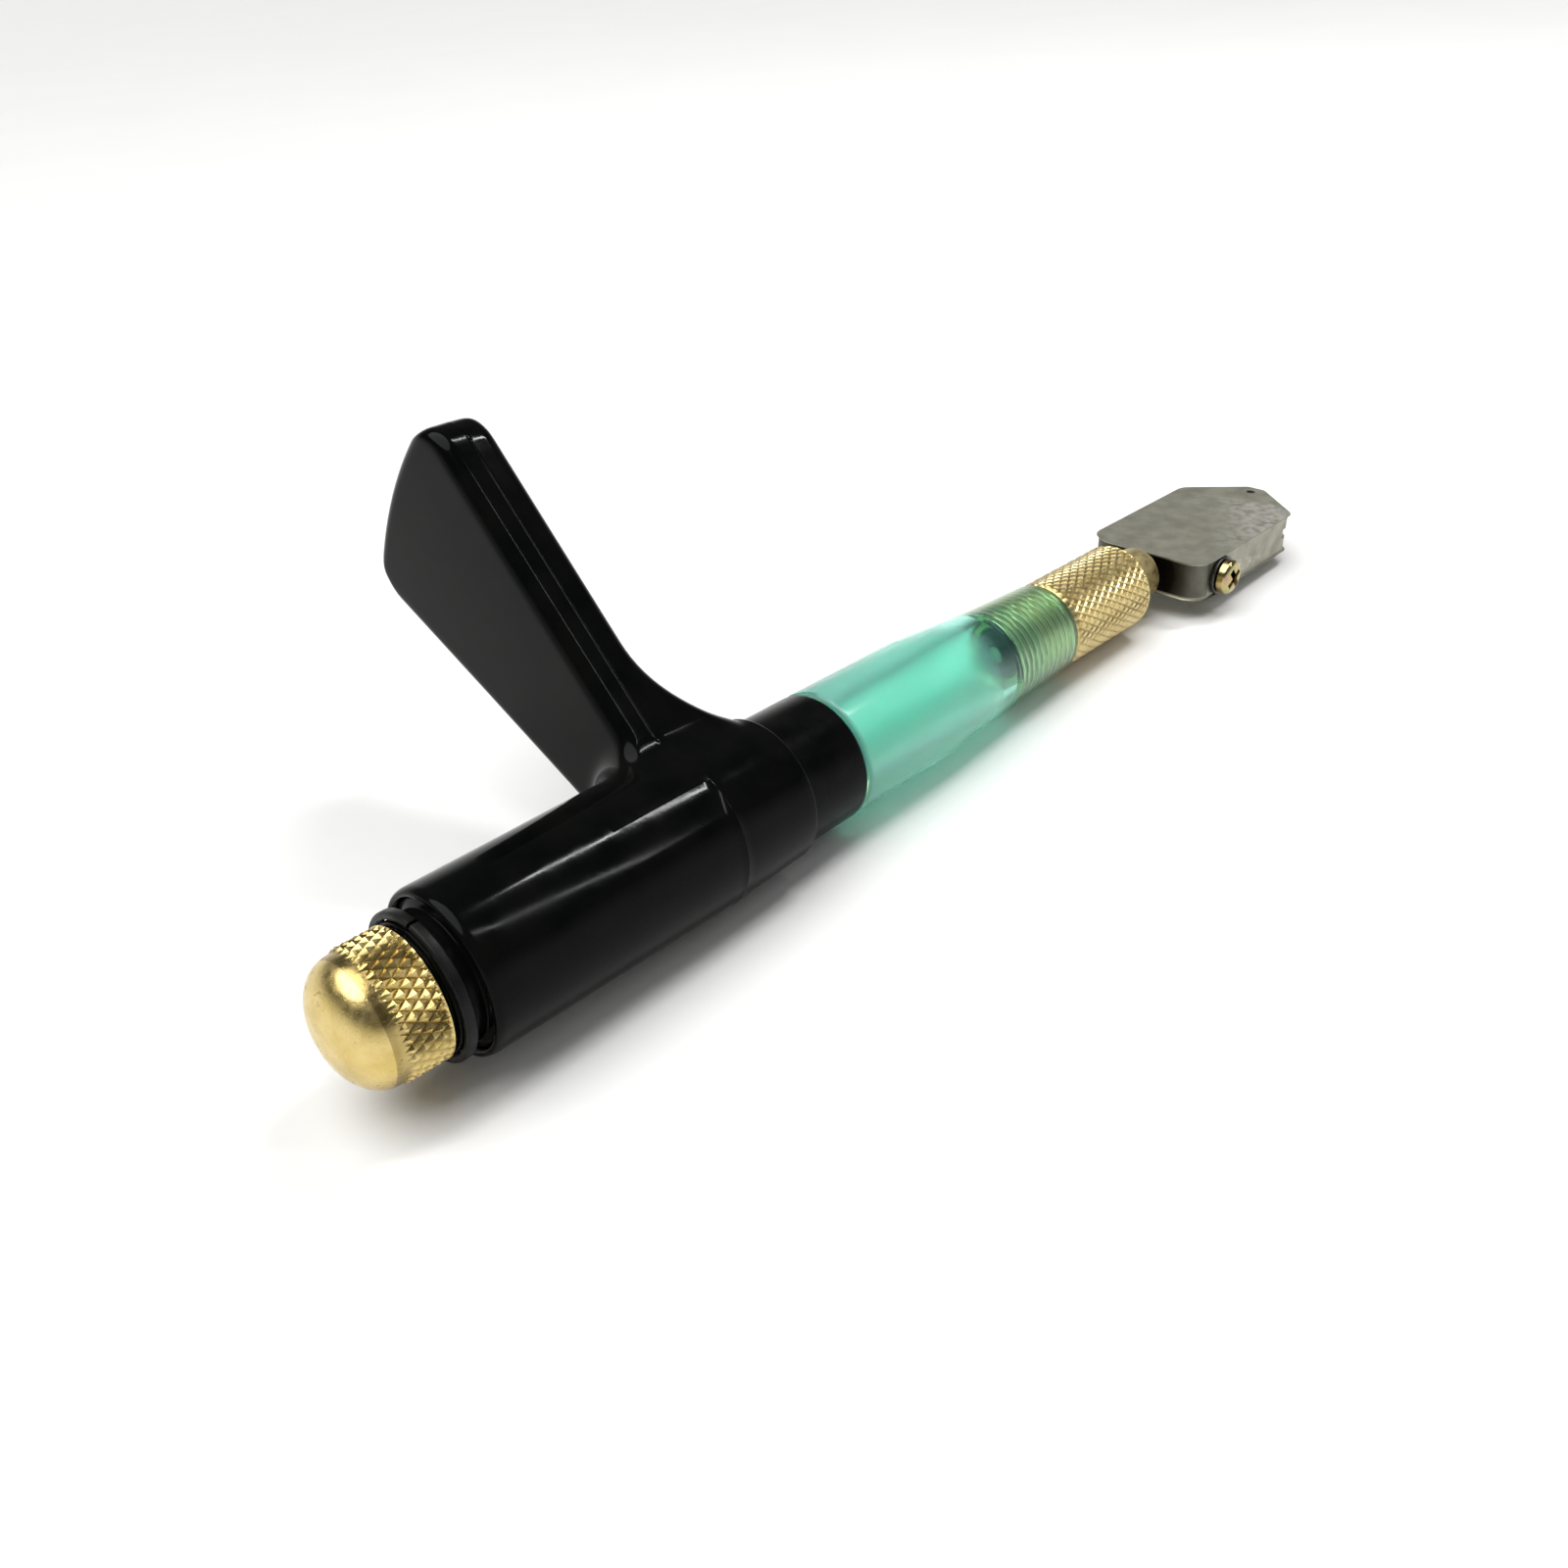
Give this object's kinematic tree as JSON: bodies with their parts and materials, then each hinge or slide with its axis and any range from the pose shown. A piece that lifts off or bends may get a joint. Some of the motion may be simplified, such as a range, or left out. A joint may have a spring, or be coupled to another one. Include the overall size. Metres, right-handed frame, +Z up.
{
  "type": "oil-fed glass cutter",
  "caption": "Oil-fed glass cutter: black sleeve with a movable saddle for the hand, translucent reservoir, brass cap and ferrule, and a swivelling steel wheel head.",
  "frame": {"origin": "centre of the bounding box at its lowest level, the surface that the tool lies on", "axes": "+X along the tool from the filler cap to the cutting wheel, dipping 2.0 degrees as it lies; +Z up; the saddle's fin leans towards +Y"},
  "size_m": [0.1508, 0.0528, 0.0415],
  "materials": {
    "black_plastic": "glossy moulded black",
    "black_rubber": "matt black rubber",
    "green_reservoir": "translucent mint green plastic, polished",
    "brass": "turned and diamond-knurled brass",
    "head_steel": "tumbled nickel-grey steel",
    "dark_steel": "dark oiled steel",
    "spring_steel": "bright spring wire",
    "zinc_screw": "yellow zinc plate",
    "carbide": "ground carbide",
    "wick_felt": "oiled felt"
  },
  "bodies": {
    "barrel": {"reservoir_barrel": "green_reservoir", "ferrule": "brass", "ferrule_gasket": "black_rubber", "spring_plug": "black_rubber", "oil_wick": "wick_felt", "return_spring": "spring_steel"},
    "sleeve": {"handle_sleeve": "black_plastic", "retaining_ring": "black_rubber"},
    "saddle": {"saddle_grip": "black_plastic"},
    "cap_lift": {"cap_gasket": "black_rubber"},
    "cap": {"filler_cap": "brass"},
    "post": {"swivel_post": "dark_steel", "post_seal": "black_rubber"},
    "head": {"head_body": "head_steel", "wheel_axle": "dark_steel"},
    "wheel": {"cutting_wheel": "carbide"},
    "screw_lift": {"screw_washer": "dark_steel"},
    "screw": {"head_screw": "zinc_screw"}
  },
  "joints": [
    {"name": "sleeve_turn", "type": "hinge", "parent": "barrel", "child": "sleeve", "pos_m": [-0.04692, -0.01597, 0.0085], "axis": [0.9994, 0, -0.0352], "continuous": true},
    {"name": "saddle_slide", "type": "slide", "parent": "sleeve", "child": "saddle", "axis": [0.9994, 0, -0.0352], "range_m": [-0.0005, 0.02]},
    {"name": "cap_travel", "type": "slide", "parent": "barrel", "child": "cap_lift", "axis": [-0.9994, 0, 0.0352], "range_m": [0, 0.0065]},
    {"name": "cap_turn", "type": "hinge", "parent": "cap_lift", "child": "cap", "pos_m": [-0.07091, -0.01597, 0.00935], "axis": [-0.9994, 0, 0.0352], "range_deg": [0, 2344]},
    {"name": "post_press", "type": "slide", "parent": "barrel", "child": "post", "axis": [0.9994, 0, -0.0352], "range_m": [-0.0006, 0], "stiffness_N_per_m": 1500, "springref_m": 0.0006},
    {"name": "head_swivel", "type": "hinge", "parent": "post", "child": "head", "pos_m": [0.04902, -0.01597, 0.00513], "axis": [0.9994, 0, -0.0352], "range_deg": [-20, 20]},
    {"name": "wheel_spin", "type": "hinge", "parent": "head", "child": "wheel", "pos_m": [0.0734, -0.01597, 0.00427], "axis": [0.0352, 0, 0.9994], "continuous": true},
    {"name": "screw_travel", "type": "slide", "parent": "head", "child": "screw_lift", "axis": [0, -1, 0], "range_m": [0, 0.0008]},
    {"name": "screw_turn", "type": "hinge", "parent": "screw_lift", "child": "screw", "pos_m": [0.04982, -0.02487, 0.0051], "axis": [0, -1, 0], "range_deg": [0, 724]}
  ],
  "couplings": [
    {"joint": "cap_turn", "follows": "cap_travel", "rad_per_m": 6283.2},
    {"joint": "screw_turn", "follows": "screw_travel", "rad_per_m": 15708}
  ]
}
